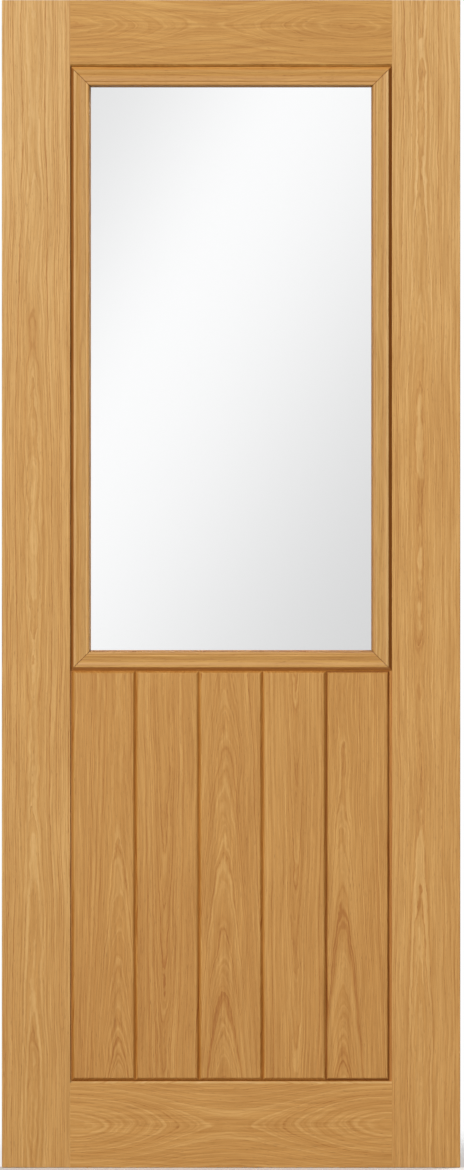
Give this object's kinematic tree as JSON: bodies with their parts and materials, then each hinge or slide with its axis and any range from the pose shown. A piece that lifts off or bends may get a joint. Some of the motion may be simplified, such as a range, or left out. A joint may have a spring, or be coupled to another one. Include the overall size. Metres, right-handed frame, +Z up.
{
  "type": "glazed timber fire door leaf",
  "caption": "Half glazed oak fire door leaf: framed stiles and rails, a mitred bead round one tall pane, and vertical V-jointed boards below.",
  "frame": {"origin": "on the face of the hinge edge, at mid thickness, at the foot of the leaf", "axes": "+X across the leaf from the hinge edge to the lock edge, +Y through its thickness from the front face to the back face, +Z up"},
  "size_m": [0.838, 0.044, 2.134],
  "materials": {
    "oak_framing": "clear satin lacquer on straight and crown cut oak veneer",
    "oak_lipping": "clear satin lacquer on solid oak",
    "oak_boards": "clear satin lacquer on crown cut oak",
    "oak_beads": "clear satin lacquer on moulded oak",
    "hardwood_lining": "planed, unfinished",
    "glazing_tape": "matt",
    "clear_glass": "clear polished"
  },
  "bodies": {
    "root": {"hinge_stile": "oak_framing", "lock_stile": "oak_framing", "top_rail": "oak_framing", "bottom_rail": "oak_framing", "hinge_edge_lipping": "oak_lipping", "lock_edge_lipping": "oak_lipping", "panel_board_1": "oak_boards", "panel_board_2": "oak_boards", "panel_board_3": "oak_boards", "panel_board_4": "oak_boards", "panel_board_5": "oak_boards", "front_top_bead": "oak_beads", "front_bottom_bead": "oak_beads", "front_left_bead": "oak_beads", "front_right_bead": "oak_beads", "back_top_bead": "oak_beads", "back_bottom_bead": "oak_beads", "back_left_bead": "oak_beads", "back_right_bead": "oak_beads", "mid_rail": "hardwood_lining", "top_aperture_liner": "hardwood_lining", "left_aperture_liner": "hardwood_lining", "right_aperture_liner": "hardwood_lining", "front_top_glazing_tape": "glazing_tape", "front_bottom_glazing_tape": "glazing_tape", "front_left_glazing_tape": "glazing_tape", "front_right_glazing_tape": "glazing_tape", "back_top_glazing_tape": "glazing_tape", "back_bottom_glazing_tape": "glazing_tape", "back_left_glazing_tape": "glazing_tape", "back_right_glazing_tape": "glazing_tape", "glass_pane": "clear_glass"}
  },
  "joints": []
}
